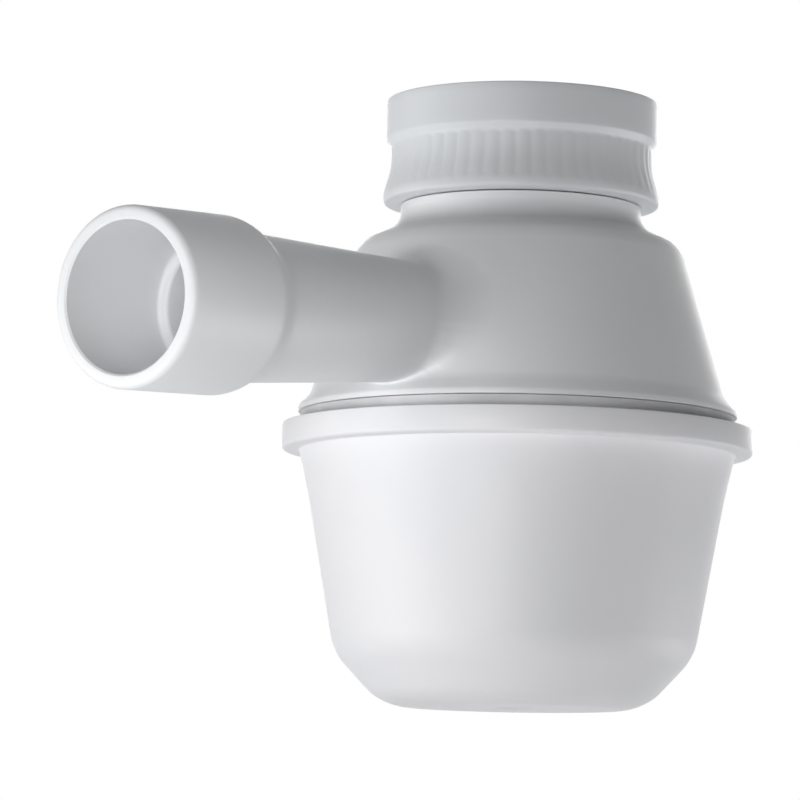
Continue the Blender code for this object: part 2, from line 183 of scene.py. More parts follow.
class BodySizes(bpy.types.PropertyGroup):
    """Sizes of the body without its outlet, with heights above the cup's base"""
    skirt_foot: length("Skirt foot", "Height of the foot of the skirt", BODY_BOX[0].z)
    skirt_radius: length("Skirt radius", "Radius at the root of the skirt's thread", 0.0459)
    skirt_bore: length("Skirt bore", "Radius inside the skirt", 0.0438)
    thread_crest: length("Thread crest", "Radius at the crest of the skirt's thread", 0.0472)
    thread_start: length("Thread start", "Height of the thread's start over the skirt's foot", 0.0014)
    thread_turns: turn_count("Thread turns", "Turns of the skirt's thread", 1.5)
    lip_radius: length("Lip radius", "Radius of the lip over the seal", BODY_BOX[1].y)
    lip_foot: length("Lip foot", "Height of the underside of the lip", SEAL_BOX[1].z + SEAT_GAP)
    lip_top: length("Lip top", "Height of the top of the lip's edge", SEAL_BOX[1].z + 0.0015)
    cone_foot_radius: length("Cone foot radius", "Radius at the foot of the cone", 0.0477)
    cone_foot: length("Cone foot", "Height of the foot of the cone", 0.0712)
    cone_top_radius: length("Cone top radius", "Radius at the top of the cone", 0.0372)
    cone_top: length("Cone top", "Height of the top of the cone", 0.1062)
    cone_foot_round: rounding("Cone foot rounding", 0.0012)
    cone_top_round: rounding("Cone top rounding", 0.0026)
    cone_top_round_inside: rounding("Cone top rounding inside", 0.0016)
    boss_radius: length("Boss radius", "Radius of the low boss under the nut", 0.0277)
    boss_foot: length("Boss foot", "Height of the foot of the boss", 0.1105)
    boss_foot_round: rounding("Boss foot rounding", 0.0034)
    boss_top: length("Boss top", "Height of the face that the nut turns on", NUT_BOX[0].z - SEAT_GAP)
    neck_radius: length("Neck radius", "Radius of the neck", 0.0207)
    neck_bore: length("Neck bore", "Radius inside the neck", 0.0181)
    neck_flange_radius: length("Neck flange radius", "Radius of the flange that holds the nut", 0.0223)
    neck_flange_foot: length("Neck flange foot", "Height of the underside of that flange",
                             BODY_BOX[1].z - 0.0046)
    neck_top: length("Neck top", "Height of the top of the neck", BODY_BOX[1].z)
    rebate_radius: length("Rebate radius", "Radius of the rebate for the dip tube's flange", 0.0204)
    rebate_floor: length("Rebate floor", "Height of the floor of that rebate", BODY_BOX[1].z - 0.0019)
    wall: length("Wall", "Thickness of the cone and the shoulder", 0.0025)
    foot_wall: length("Foot wall", "Thickness of the cone at its foot, measured level", 0.0037)


class OutletSizes(bpy.types.PropertyGroup):
    """Sizes of the outlet, with distances along its own axis from the body's axis"""
    height: length("Height", "Height of the outlet's axis at the body's axis", 0.0864)
    fall: angle("Fall", "Angle by which the outlet falls from the body", 3.0)
    reach: length("Reach", "Distance of the outlet's end", 0.13896)
    root_radius: length("Root radius", "Radius of the tube where it leaves the body", 0.0137)
    tube_radius: length("Tube radius", "Radius of the tube where it meets the socket", 0.0162)
    tube_wall: length("Tube wall", "Thickness of the tube", 0.0023)
    socket_radius: length("Socket radius", "Radius outside the pipe socket", 0.0192)
    socket_bore: length("Socket bore", "Radius inside the pipe socket", 0.0161)
    socket_depth: length("Socket depth", "Depth of the pipe socket", 0.030)
    socket_bevel: length("Socket bevel", "Length of the slope up to the socket", 0.0060)
    socket_round: rounding("Socket rounding", 0.0016)
    mouth_round: rounding("Mouth rounding", 0.0015)
    lead_in: length("Lead-in", "Width of the slope inside the outlet's end", 0.0004)
    stop_round: rounding("Stop rounding", 0.0009)
    fillet_top: length("Fillet over the tube", "Leg of the fillet to the body at the top", 0.0050)
    fillet_side: length("Fillet beside the tube", "Leg of that fillet at the sides", 0.0077)
    fillet_foot: length("Fillet under the tube", "Leg of that fillet at the foot", 0.0009)


class NutSizes(bpy.types.PropertyGroup):
    """Sizes of the union nut, with heights above the cup's base"""
    foot: length("Foot", "Height of the foot of the nut", NUT_BOX[0].z)
    top: length("Top", "Height of the top of the nut", NUT_BOX[1].z)
    band_radius: length("Band radius", "Radius of the plain band at the top", 0.0313)
    band_foot: length("Band foot", "Height of the foot of that band", 0.1306)
    band_bevel: length("Band bevel", "Height of the slope under that band", 0.0014)
    waist_radius: length("Waist radius", "Radius of the ribbed waist", 0.0301)
    waist_foot: length("Waist foot", "Height at which the waist starts to widen", 0.1240)
    waist_round: rounding("Waist rounding", 0.0022)
    top_round: rounding("Top rounding", 0.0004)
    foot_radius: length("Foot radius", "Radius of the foot", NUT_BOX[1].y)
    foot_top: length("Foot top", "Height of the top of the foot", 0.1180)
    bore: length("Bore", "Radius at the root of the nut's thread", 0.0241)
    thread_crest: length("Thread crest", "Radius at the crest of the nut's thread", 0.02242)
    thread_pitch: length("Thread pitch", "Pitch of the nut's thread", 0.002309)
    thread_root_width: length("Thread root width", "Width of the thread's ridge at its root", 0.0020)
    thread_crest_width: length("Thread crest width", "Width of the thread's ridge at its crest", 0.0006)
    thread_start: length("Thread start", "Height of the thread's start over the floor", 0.0095)
    thread_turns: turn_count("Thread turns", "Turns of the nut's thread", 4.2)
    socket_floor: length("Socket floor", "Height of the floor inside the nut", NUT_BOX[0].z + 0.0030)
    lip_bore: length("Lip bore", "Radius of the hole that turns on the neck", 0.0212)
    ribs: IntProperty(name="Ribs", description="Number of ribs round the waist", default=54, min=12)
    rib_depth: length("Rib depth", "Depth of the grooves between the ribs", 0.00014)
    rib_run_out: length("Rib run-out", "Height over which the grooves fade at their ends", 0.0007)


class TubeSizes(bpy.types.PropertyGroup):
    """Sizes of the dip tube, with heights above the cup's base"""
    foot: length("Foot", "Height of the open foot of the tube", TUBE_BOX[0].z)
    top: length("Top", "Height of the top of the flange", TUBE_BOX[1].z)
    flange_foot: length("Flange foot", "Height of the underside of the flange", TUBE_BOX[1].z - 0.0015)
    flange_radius: length("Flange radius", "Radius of the flange that hangs in the neck", TUBE_BOX[1].y)
    radius: length("Radius", "Radius outside the tube", 0.0178)
    bore: length("Bore", "Radius inside the tube", 0.0159)
    mouth_round: rounding("Mouth rounding", 0.0006)


class RingSizes(bpy.types.PropertyGroup):
    """Sizes of the two flat rings"""
    washer_bore: length("Washer bore", "Radius inside the washer in the nut", 0.0163)
    seal_bore: length("Seal bore", "Radius inside the seal, clear of the skirt's thread", 0.0474)
    edge: length("Edge", "Rounding of the rings' edges", 0.00015)
    swell: length("Swell", "How far soft rings swell into the gaps over and under them", 0.00015)


class Finishes(bpy.types.PropertyGroup):
    """Colours and gloss of the plastics and the rubbers"""
    body: colour("Body", "Plastic of the body", (0.80, 0.81, 0.82))
    cup: colour("Cup", "Plastic of the cup", (0.82, 0.82, 0.84))
    nut: colour("Nut", "Plastic of the nut", (0.78, 0.80, 0.82))
    tube: colour("Dip tube", "Plastic of the dip tube", (0.80, 0.80, 0.80))
    seal: colour("Cup seal", "Rubber of the cup's seal", (0.74, 0.74, 0.75))
    washer: colour("Inlet washer", "Rubber of the washer in the nut", (0.03, 0.03, 0.03))
    roughness: share("Roughness", "Roughness of the moulded faces", 0.42)


class StageSizes(bpy.types.PropertyGroup):
    """Floor and camera"""
    floor_drop: length("Floor drop", "How far the floor lies under the cup", 0.30)
    floor_size: length("Floor size", "Width of the floor", 6.0)
    eye: spot("Eye", "Where the camera stands", (-0.8556, -0.6223, -0.0407))
    aim: spot("Aim", "Point that the camera looks at", (-0.0159, 0.0219, 0.0704))
    lens: FloatProperty(name="Lens", description="Focal length of the camera, in millimetres",
                        default=208.1, min=20, subtype="DISTANCE_CAMERA", unit="CAMERA")
    roll: angle("Roll", "Turn of the camera about its own line of sight", 1.1)


def turned_mesh(corners, sides, closed=False, place_at=Matrix()):
    """Spin an outline of (radius, height, setback) corners about Z, then move it to its place.

    A corner's setback is how far along its edges its rounding starts. An open
    outline starts and ends on the axis, and a closed one makes a ring.
    """
    bm = bmesh.new()
    verts = [bm.verts.new((radius, 0, height)) for radius, height, _ in corners]
    for pair in zip(verts, verts[1:]):
        bm.edges.new(pair)
    if closed:
        bm.edges.new((verts[-1], verts[0]))
    for vert, (_, _, setback) in zip(verts, corners):
        if setback > 0:
            bmesh.ops.bevel(bm, geom=[vert], offset=setback, offset_type="OFFSET",
                            affect="VERTICES", profile=0.5, material=-1,
                            segments=max(FEWEST_ARC_STEPS, math.ceil(setback / ARC_CHORD)))
    bmesh.ops.spin(bm, geom=bm.verts[:] + bm.edges[:], cent=(0, 0, 0), axis=(0, 0, 1),
                   angle=math.tau, steps=sides, use_merge=True)
    bmesh.ops.remove_doubles(bm, verts=bm.verts, dist=MERGE_DISTANCE)
    bmesh.ops.recalc_face_normals(bm, faces=bm.faces)
    bmesh.ops.transform(bm, matrix=place_at, verts=bm.verts)
    return bm


def inset_chain(points, wall):
    """Move a chain of (radius, height) points to its left by one wall, with mitred corners."""
    runs = [Vector(b) - Vector(a) for a, b in zip(points, points[1:])]
    normals = [Vector((-run.y, run.x)).normalized() for run in runs]
    mitres = [normals[0]]
    for before, after in zip(normals, normals[1:]):
        mitres.append((before + after) / (1 + before.dot(after)))
    mitres.append(normals[-1])
    return [Vector(point) + wall * mitre for point, mitre in zip(points, mitres)]


def helical_ridge(root, crest, pitch, foot, turns, root_width, crest_width):
    """Closed ridge of a right-hand thread, sunk a little in its wall, that fades at both ends."""
    steps_round = 96
    fade_steps = 14
    rise_at_ends = 0.2
    bm = bmesh.new()
    inwards = 1 if root > crest else -1
    sunk = root + inwards * RIDGE_SUNK
    profile = [(sunk, foot - root_width / 2), (crest, foot - crest_width / 2),
               (crest, foot + crest_width / 2), (sunk, foot + root_width / 2)]
    verts = [bm.verts.new((radius, 0, height)) for radius, height in profile]
    edges = [bm.edges.new((verts[i], verts[i - 1])) for i in range(4)]
    last = round(turns * steps_round)
    bmesh.ops.spin(bm, geom=verts + edges, cent=(0, 0, 0), axis=(0, 0, 1),
                   dvec=(0, 0, pitch / steps_round), angle=last * math.tau / steps_round,
                   steps=last, use_merge=False)
    bm.verts.ensure_lookup_table()
    bm.faces.new(bm.verts[:4])
    bm.faces.new(bm.verts[-4:])
    for vert in bm.verts:
        ring, corner = divmod(vert.index, 4)
        if corner in (1, 2):
            full = min(1, ring / fade_steps, (last - ring) / fade_steps)
            rise = rise_at_ends + (1 - rise_at_ends) * math.sin(full * math.pi / 2)
            radius = sunk + (crest - sunk) * rise
            now = math.hypot(vert.co.x, vert.co.y)
            vert.co.x *= radius / now
            vert.co.y *= radius / now
    bmesh.ops.recalc_face_normals(bm, faces=bm.faces)
    return bm


def as_object(bm, name):
    """Write a bmesh to a new object of that name."""
    mesh = bpy.data.meshes.new(name)
    bm.to_mesh(mesh)
    bm.free()
    piece = bpy.data.objects.new(name, mesh)
    bpy.context.scene.collection.objects.link(piece)
    return piece


def combine(piece, form_mesh, operation):
    """Join a form to a piece, or cut it out of it, and leave one plain mesh."""
    form = as_object(form_mesh, "form")
    modifier = piece.modifiers.new("form", "BOOLEAN")
    modifier.operation = operation
    modifier.solver = "EXACT"
    modifier.object = form
    bpy.context.view_layer.update()
    evaluated = piece.evaluated_get(bpy.context.evaluated_depsgraph_get())
    made = bpy.data.meshes.new_from_object(evaluated)
    piece.modifiers.clear()
    old = piece.data
    piece.data = made
    made.name = piece.name
    bpy.data.meshes.remove(old)
    form_data = form.data
    bpy.data.objects.remove(form)
    bpy.data.meshes.remove(form_data)


def place(piece, node, material):
    """Finish a piece: smooth shading, its material, and its body in the frame, found from its node,
    whose CAD mesh it hides.
    """
    mesh = piece.data
    mesh.shade_smooth()
    mesh.set_sharp_from_angle(angle=SHARP_ANGLE)
    mesh.materials.clear()
    mesh.materials.append(material)
    body = next(name for name, nodes in frame["record"]["behaviour"]["bodies"].items() if node in nodes)
    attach(piece, body)
    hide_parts(node)


def node_in(tree, kind, name, inputs=None, **settings):
    """Add a shader node, with its settings and the values of its unlinked sockets."""
    node = tree.nodes.new(kind)
    node.name = node.label = name
    for key, value in settings.items():
        setattr(node, key, value)
    for socket, value in (inputs or {}).items():
        node.inputs[socket].default_value = value
    return node


def plastic_group():
    """Moulded plastic: a cloudy shade, a fine grain and the mould's line where local Y is zero."""
    name = "moulded_plastic"
    if name in bpy.data.node_groups:
        return bpy.data.node_groups[name]
    group = bpy.data.node_groups.new(name, "ShaderNodeTree")
    sockets = [
        ("Vector", "INPUT", "NodeSocketVector", None),
        ("Colour", "INPUT", "NodeSocketColor", (0.8, 0.8, 0.8, 1)),
        ("Shade", "INPUT", "NodeSocketColor", (0.75, 0.76, 0.78, 1)),
        ("Cloud Scale", "INPUT", "NodeSocketFloat", 24),
        ("Grain Scale", "INPUT", "NodeSocketFloat", 900),
        ("Grain Height", "INPUT", "NodeSocketFloat", 0.000004),
        ("Roughness", "INPUT", "NodeSocketFloat", 0.4),
        ("Roughness Spread", "INPUT", "NodeSocketFloat", 0.06),
        ("Line Width", "INPUT", "NodeSocketFloat", 0.00014),
        ("Line Height", "INPUT", "NodeSocketFloat", 0.00003),
        ("Colour", "OUTPUT", "NodeSocketColor", None),
        ("Roughness", "OUTPUT", "NodeSocketFloat", None),
        ("Height", "OUTPUT", "NodeSocketFloat", None),
    ]
    for label, way, kind, value in sockets:
        socket = group.interface.new_socket(label, in_out=way, socket_type=kind)
        if value is not None:
            socket.default_value = value
    link = group.links.new
    given = node_in(group, "NodeGroupInput", "given")
    out = node_in(group, "NodeGroupOutput", "out")
    cloud = node_in(group, "ShaderNodeTexNoise", "cloud", {"Detail": 3, "Roughness": 0.5})
    grain = node_in(group, "ShaderNodeTexNoise", "grain", {"Detail": 2, "Roughness": 0.55})
    for noise, scale in ((cloud, "Cloud Scale"), (grain, "Grain Scale")):
        link(given.outputs["Vector"], noise.inputs["Vector"])
        link(given.outputs[scale], noise.inputs["Scale"])
    patches = node_in(group, "ShaderNodeMapRange", "patches",
                      {"From Min": 0.35, "From Max": 0.65}, interpolation_type="SMOOTHSTEP")
    link(cloud.outputs["Fac"], patches.inputs["Value"])
    tint = node_in(group, "ShaderNodeMix", "tint", data_type="RGBA")
    link(patches.outputs["Result"], tint.inputs["Factor"])
    link(given.outputs["Colour"], tint.inputs["A"])
    link(given.outputs["Shade"], tint.inputs["B"])
    link(tint.outputs["Result"], out.inputs["Colour"])
    spread = node_in(group, "ShaderNodeMath", "spread", {1: 0.5}, operation="SUBTRACT")
    link(grain.outputs["Fac"], spread.inputs[0])
    rougher = node_in(group, "ShaderNodeMath", "rougher", operation="MULTIPLY_ADD")
    link(spread.outputs[0], rougher.inputs[0])
    link(given.outputs["Roughness Spread"], rougher.inputs[1])
    link(given.outputs["Roughness"], rougher.inputs[2])
    link(rougher.outputs[0], out.inputs["Roughness"])
    parts = node_in(group, "ShaderNodeSeparateXYZ", "parts")
    link(given.outputs["Vector"], parts.inputs["Vector"])
    aside = node_in(group, "ShaderNodeMath", "aside", operation="ABSOLUTE")
    link(parts.outputs["Y"], aside.inputs[0])
    line = node_in(group, "ShaderNodeMapRange", "line",
                   {"From Min": 0, "To Min": 1, "To Max": 0}, interpolation_type="SMOOTHSTEP")
    link(aside.outputs[0], line.inputs["Value"])
    link(given.outputs["Line Width"], line.inputs["From Max"])
    raised = node_in(group, "ShaderNodeMath", "raised", operation="MULTIPLY")
    link(line.outputs["Result"], raised.inputs[0])
    link(given.outputs["Line Height"], raised.inputs[1])
    height = node_in(group, "ShaderNodeMath", "height", operation="MULTIPLY_ADD")
    link(grain.outputs["Fac"], height.inputs[0])
    link(given.outputs["Grain Height"], height.inputs[1])
    link(raised.outputs[0], height.inputs[2])
    link(height.outputs[0], out.inputs["Height"])
    return group


def finish_material(name, group, values, turn=0.0, specular=0.35):
    """Material of a piece: a Principled shader fed by a finish group on Object coordinates."""
    material = bpy.data.materials.new(name)
    material.use_nodes = True
    tree = material.node_tree
    shader = tree.nodes["Principled BSDF"]
    shader.inputs["Metallic"].default_value = 0
    shader.inputs["Specular IOR Level"].default_value = specular
    where = node_in(tree, "ShaderNodeTexCoord", "where")
    turned = node_in(tree, "ShaderNodeMapping", "turned", {"Rotation": (0, 0, turn)})
    finish = node_in(tree, "ShaderNodeGroup", "finish", node_tree=group)
    for socket, value in values.items():
        finish.inputs[socket].default_value = value
    bump = node_in(tree, "ShaderNodeBump", "bump", {"Distance": 1, "Strength": 1})
    link = tree.links.new
    link(where.outputs["Object"], turned.inputs["Vector"])
    link(turned.outputs["Vector"], finish.inputs["Vector"])
    link(finish.outputs["Colour"], shader.inputs["Base Color"])
    link(finish.outputs["Roughness"], shader.inputs["Roughness"])
    link(finish.outputs["Height"], bump.inputs["Height"])
    link(bump.outputs["Normal"], shader.inputs["Normal"])
    return material


def plastic(name, tone, roughness, turn=0.0, line_height=0.00003):
    """White moulded plastic of one tone. Its mould line lies in the plane turned by that angle."""
    duller = (0.965, 0.97, 0.98)
    shade = tuple(channel * factor for channel, factor in zip(tone, duller))
    return finish_material(name, plastic_group(), {
        "Colour": (*tone, 1),
        "Shade": (*shade, 1),
        "Roughness": roughness,
        "Line Height": line_height,
    }, turn)


def rubber(name, tone):
    """Matt rubber of one tone, without a mould line."""
    shade = tuple(channel * 0.85 for channel in tone)
    return finish_material(name, plastic_group(), {
        "Colour": (*tone, 1),
        "Shade": (*shade, 1),
        "Cloud Scale": 60,
        "Grain Scale": 1500,
        "Grain Height": 0.000012,
        "Roughness": 0.72,
        "Roughness Spread": 0.12,
        "Line Height": 0,
    }, specular=0.3)


def cup_outline(sizes):
    """Outside of the cup from its base up, over the rim, and back down its inside."""
    outside = [(0, 0), (sizes.base_radius, 0), (sizes.bevel_radius, sizes.bevel_height),
               (sizes.waist_radius, sizes.waist_height), (sizes.flange_root, sizes.flange_foot)]
    inside = inset_chain(outside, sizes.wall)
    down = (sizes.mouth_ledge - inside[3].y) / (inside[4].y - inside[3].y)
    ledge_radius = inside[3].x + down * (inside[4].x - inside[3].x)
    stub_foot = sizes.gate_depth - sizes.stub_height
    return [
        (0, stub_foot, 0),
        (sizes.stub_radius, stub_foot, sizes.stub_height / 2),
        (sizes.stub_radius, sizes.gate_depth, 0),
        (sizes.gate_radius, sizes.gate_depth, sizes.gate_slope / 4),
        (sizes.gate_radius + sizes.gate_slope, 0, sizes.gate_slope / 3),
        (*outside[1], sizes.base_round),
        (*outside[2], sizes.bevel_round),
        (*outside[3], sizes.waist_round),
        (*outside[4], FINE_EDGE),
        (sizes.flange_radius, sizes.flange_foot, SOFT_EDGE),
        (sizes.flange_radius, sizes.rim, FINE_EDGE),
        (sizes.mouth_bore, sizes.rim, FINE_EDGE),
        (sizes.mouth_bore, sizes.mouth_ledge, 0),
        (ledge_radius, sizes.mouth_ledge, FINE_EDGE),
        (*inside[3], sizes.waist_round),
        (*inside[2], sizes.bevel_round_inside),
        (*inside[1], sizes.base_round_inside),
        (0, sizes.wall, 0),
    ]


class TRAP_OT_cup(bpy.types.Operator):
    """Model the cup: a bowl with a bevelled base, a flange and a threaded mouth"""
    bl_idname = "bottle_trap.cup"
    bl_label = "Cup"

    def execute(self, context):
        sizes = context.scene.trap_cup
        piece = as_object(turned_mesh(cup_outline(sizes), LARGE_SIDES), "cup_moulding")
        ridge = helical_ridge(sizes.mouth_bore, sizes.thread_crest, CUP_THREAD_PITCH,
                              sizes.mouth_ledge + sizes.thread_start, sizes.thread_turns,
                              CUP_THREAD_ROOT_WIDTH, CUP_THREAD_CREST_WIDTH)
        combine(piece, ridge, "UNION")
        finishes = context.scene.trap_finishes
        place(piece, "cup",
              plastic("cup_plastic", finishes.cup, finishes.roughness, line_height=0))
        return {"FINISHED"}


def body_outline(sizes):
    """Outside of the body without its outlet, solid to the axis, from the top down."""
    return [
        (0, sizes.neck_top, 0),
        (sizes.neck_flange_radius, sizes.neck_top, FINE_EDGE),
        (sizes.neck_flange_radius, sizes.neck_flange_foot, FINE_EDGE),
        (sizes.neck_radius, sizes.neck_flange_foot, 0),
        (sizes.neck_radius, sizes.boss_top, 0),
        (sizes.boss_radius, sizes.boss_top, FINE_EDGE),
        (sizes.boss_radius, sizes.boss_foot, sizes.boss_foot_round),
        (sizes.cone_top_radius, sizes.cone_top, sizes.cone_top_round),
        (sizes.cone_foot_radius, sizes.cone_foot, sizes.cone_foot_round),
        (sizes.lip_radius, sizes.lip_top, SOFT_EDGE / 2),
        (sizes.lip_radius, sizes.lip_foot, FINE_EDGE / 2),
        (sizes.skirt_radius, sizes.lip_foot, 0),
        (sizes.skirt_radius, sizes.skirt_foot, SOFT_EDGE / 2),
        (0, sizes.skirt_foot, 0),
    ]


def cavity_outline(sizes):
    """Room inside the body, open below the skirt and through the neck, from the bottom up."""
    roof = inset_chain([(sizes.cone_foot_radius, sizes.cone_foot),
                        (sizes.cone_top_radius, sizes.cone_top),
                        (sizes.boss_radius, sizes.boss_foot), (0, sizes.boss_foot)], sizes.wall)
    return [
        (0, sizes.skirt_foot - CUT_OVERRUN, 0),
        (sizes.skirt_bore, sizes.skirt_foot - CUT_OVERRUN, 0),
        (sizes.skirt_bore, sizes.lip_foot, SOFT_EDGE / 2),
        (sizes.cone_foot_radius - sizes.foot_wall, sizes.cone_foot, 0),
        (*roof[1], sizes.cone_top_round_inside),
        (*roof[2], SOFT_EDGE),
        (sizes.neck_bore, roof[2].y, 0),
        (sizes.neck_bore, sizes.rebate_floor, 0),
        (sizes.rebate_radius, sizes.rebate_floor, 0),
        (sizes.rebate_radius, sizes.neck_top + CUT_OVERRUN, 0),
        (0, sizes.neck_top + CUT_OVERRUN, 0),
    ]


def outlet_frame(sizes):
    """Matrix that turns +Z into the outlet's falling axis and +X up."""
    return (Matrix.Translation((0, 0, sizes.height))
            @ Matrix.Rotation(-math.pi / 2 - sizes.fall, 4, "Y"))


def fillet_leg(sizes, angle_from_top):
    """Leg of the fillet between tube and body at an angle round the tube."""
    even = (sizes.fillet_top + sizes.fillet_foot) / 2
    return ((even + sizes.fillet_side) / 2
            + (sizes.fillet_top - sizes.fillet_foot) / 2 * math.cos(angle_from_top)
            + (even - sizes.fillet_side) / 2 * math.cos(2 * angle_from_top))


def outlet_outside(sizes, root_start, body_surface):
    """Outside of the outlet, whose root opens in a fillet that meets the body's surface.

    The root is spun as a straight tube with evenly spaced rows. The first row stays
    inside the body, and the others are then moved to their places along the fillet,
    which differs all round the tube and starts a hair under the body's surface.
    """
    rows = 12
    spacing = sizes.root_radius / 4
    hair = 0.00004
    socket_start = sizes.reach - sizes.socket_depth
    bevel_start = socket_start - sizes.socket_bevel
    root_end = root_start + rows * spacing
    bm = turned_mesh(
        [(0, root_start, 0)]
        + [(sizes.root_radius, root_start + row * spacing, 0) for row in range(rows + 1)]
        + [
            (sizes.tube_radius, root_end + bevel_start, sizes.socket_round),
            (sizes.socket_radius, root_end + socket_start, sizes.socket_round),
            (sizes.socket_radius, root_end + sizes.reach, sizes.mouth_round),
            (0, root_end + sizes.reach, 0),
        ], TUBE_SIDES)
    to_world = outlet_frame(sizes)
    turn = to_world.to_3x3()
    outwards = turn @ Vector((0, 0, 1))
    for vert in bm.verts:
        if vert.co.z > root_end + spacing / 2:
            vert.co.z -= root_end
            continue
        around = vert.co.xy.length
        if around < spacing / 2:
            continue
        row = round((vert.co.z - root_start) / spacing)
        radial = Vector((vert.co.x, vert.co.y, 0)) / around
        leg = fillet_leg(sizes, math.atan2(radial.y, radial.x))
        met, normal = surface_point(body_surface, to_world, outwards, radial, sizes.root_radius + leg)
        slope = normal.dot(turn @ radial) / normal.dot(outwards)
        corner = met + slope * leg
        if row == 0:
            height, radius = root_start, sizes.root_radius + leg / 2
        else:
            t = (row - 1) / (rows - 1)
            foot = Vector((met - hair, sizes.root_radius + leg))
            bend = Vector((corner, sizes.root_radius))
            end = Vector((corner + leg, sizes.root_radius))
            height, radius = (1 - t) ** 2 * foot + 2 * t * (1 - t) * bend + t ** 2 * end
        vert.co = (radial.x * radius, radial.y * radius, height)
    bmesh.ops.transform(bm, matrix=to_world, verts=bm.verts)
    bmesh.ops.recalc_face_normals(bm, faces=bm.faces)
    return bm


def surface_point(surface, to_world, outwards, radial, radius):
    """Where a line beside the outlet's axis meets the body: how far out, and the surface's normal."""
    far_out = 0.2
    start = to_world @ (radial * radius + Vector((0, 0, far_out)))
    _, normal, _, gone = surface.ray_cast(start, -outwards)
    return far_out - gone, normal


def outlet_bore(sizes, root_start):
    """Bore of the outlet, with the wider bore of the socket."""
    socket_start = sizes.reach - sizes.socket_depth
    end = sizes.reach + CUT_OVERRUN
    return turned_mesh([
        (0, root_start - CUT_OVERRUN, 0),
        (sizes.root_radius - sizes.tube_wall, root_start - CUT_OVERRUN, 0),
        (sizes.tube_radius - sizes.tube_wall, socket_start, sizes.stop_round),
        (sizes.socket_bore, socket_start, sizes.stop_round),
        (sizes.socket_bore, sizes.reach - sizes.lead_in, 0),
        (sizes.socket_bore + sizes.lead_in + CUT_OVERRUN, end, 0),
        (0, end, 0),
    ], TUBE_SIDES, place_at=outlet_frame(sizes))


class TRAP_OT_body(bpy.types.Operator):
    """Model the body: skirt, cone, shoulder and neck, with the outlet and its pipe socket"""
    bl_idname = "bottle_trap.body"
    bl_label = "Body"

    def execute(self, context):
        sizes = context.scene.trap_body
        outlet = context.scene.trap_outlet
        root_start = sizes.cone_top_radius - sizes.foot_wall
        outside = turned_mesh(body_outline(sizes), LARGE_SIDES)
        surface = BVHTree.FromBMesh(outside)
        piece = as_object(outside, "body_moulding")
        combine(piece, outlet_outside(outlet, root_start, surface), "UNION")
        combine(piece, turned_mesh(cavity_outline(sizes), LARGE_SIDES), "DIFFERENCE")
        combine(piece, outlet_bore(outlet, root_start), "DIFFERENCE")
        ridge = helical_ridge(sizes.skirt_radius, sizes.thread_crest, CUP_THREAD_PITCH,
                              sizes.skirt_foot + sizes.thread_start, sizes.thread_turns,
                              CUP_THREAD_ROOT_WIDTH, CUP_THREAD_CREST_WIDTH)
        combine(piece, ridge, "UNION")
        finishes = context.scene.trap_finishes
        place(piece, "trap_body",
              plastic("body_plastic", finishes.body, finishes.roughness))
        return {"FINISHED"}


def nut_outline(sizes):
    """Section of the nut, from the hole in its lip round the outside and down its bore."""
    rib_top = sizes.band_foot - sizes.band_bevel
    return [
        (sizes.lip_bore, sizes.foot, FINE_EDGE),
        (sizes.foot_radius, sizes.foot, SOFT_EDGE),
        (sizes.foot_radius, sizes.foot_top, SOFT_EDGE),
        (sizes.waist_radius, sizes.waist_foot, sizes.waist_round),
        (sizes.waist_radius, rib_top, FINE_EDGE),
        (sizes.band_radius, sizes.band_foot, FINE_EDGE),
        (sizes.band_radius, sizes.top, sizes.top_round),
        (sizes.bore, sizes.top, SOFT_EDGE),
        (sizes.bore, sizes.socket_floor, FINE_EDGE),
        (sizes.lip_bore, sizes.socket_floor, FINE_EDGE),
    ]


def press_ribs(bm, sizes):
    """Divide the nut's tall outer faces, and sink grooves between the ribs of its waist."""
    outer = sizes.bore + SOFT_EDGE
    tall = [edge for edge in bm.edges
            if abs(edge.verts[0].co.z - edge.verts[1].co.z) > sizes.band_bevel + 0.0001
            and edge.verts[0].co.xy.length > outer]
    bmesh.ops.subdivide_edges(bm, edges=tall, cuts=5, use_grid_fill=True)
    rib_top = sizes.band_foot - sizes.band_bevel
    for vert in bm.verts:
        radius = vert.co.xy.length
        from_end = min(vert.co.z - sizes.foot_top, rib_top - vert.co.z) / sizes.rib_run_out
        full = max(0.0, min(1.0, from_end))
        if full > 0 and radius >= outer:
            turn = sizes.ribs * math.atan2(vert.co.y, vert.co.x)
            groove = (0.5 + 0.5 * math.cos(turn)) ** 2
            vert.co.xy *= 1 - sizes.rib_depth * groove * full ** 2 * (3 - 2 * full) / radius


class TRAP_OT_nut(bpy.types.Operator):
    """Model the union nut: a plain band, a ribbed waist, a foot and a threaded bore"""
    bl_idname = "bottle_trap.nut"
    bl_label = "Union nut"

    def execute(self, context):
        sizes = context.scene.trap_nut
        bm = turned_mesh(nut_outline(sizes), RIB_SIDES * sizes.ribs, closed=True)
        press_ribs(bm, sizes)
        piece = as_object(bm, "nut_moulding")
        ridge = helical_ridge(sizes.bore, sizes.thread_crest, sizes.thread_pitch,
                              sizes.socket_floor + sizes.thread_start, sizes.thread_turns,
                              sizes.thread_root_width, sizes.thread_crest_width)
        combine(piece, ridge, "UNION")
        finishes = context.scene.trap_finishes
        place(piece, "union_nut",
              plastic("nut_plastic", finishes.nut, finishes.roughness, turn=math.radians(25)))
        return {"FINISHED"}


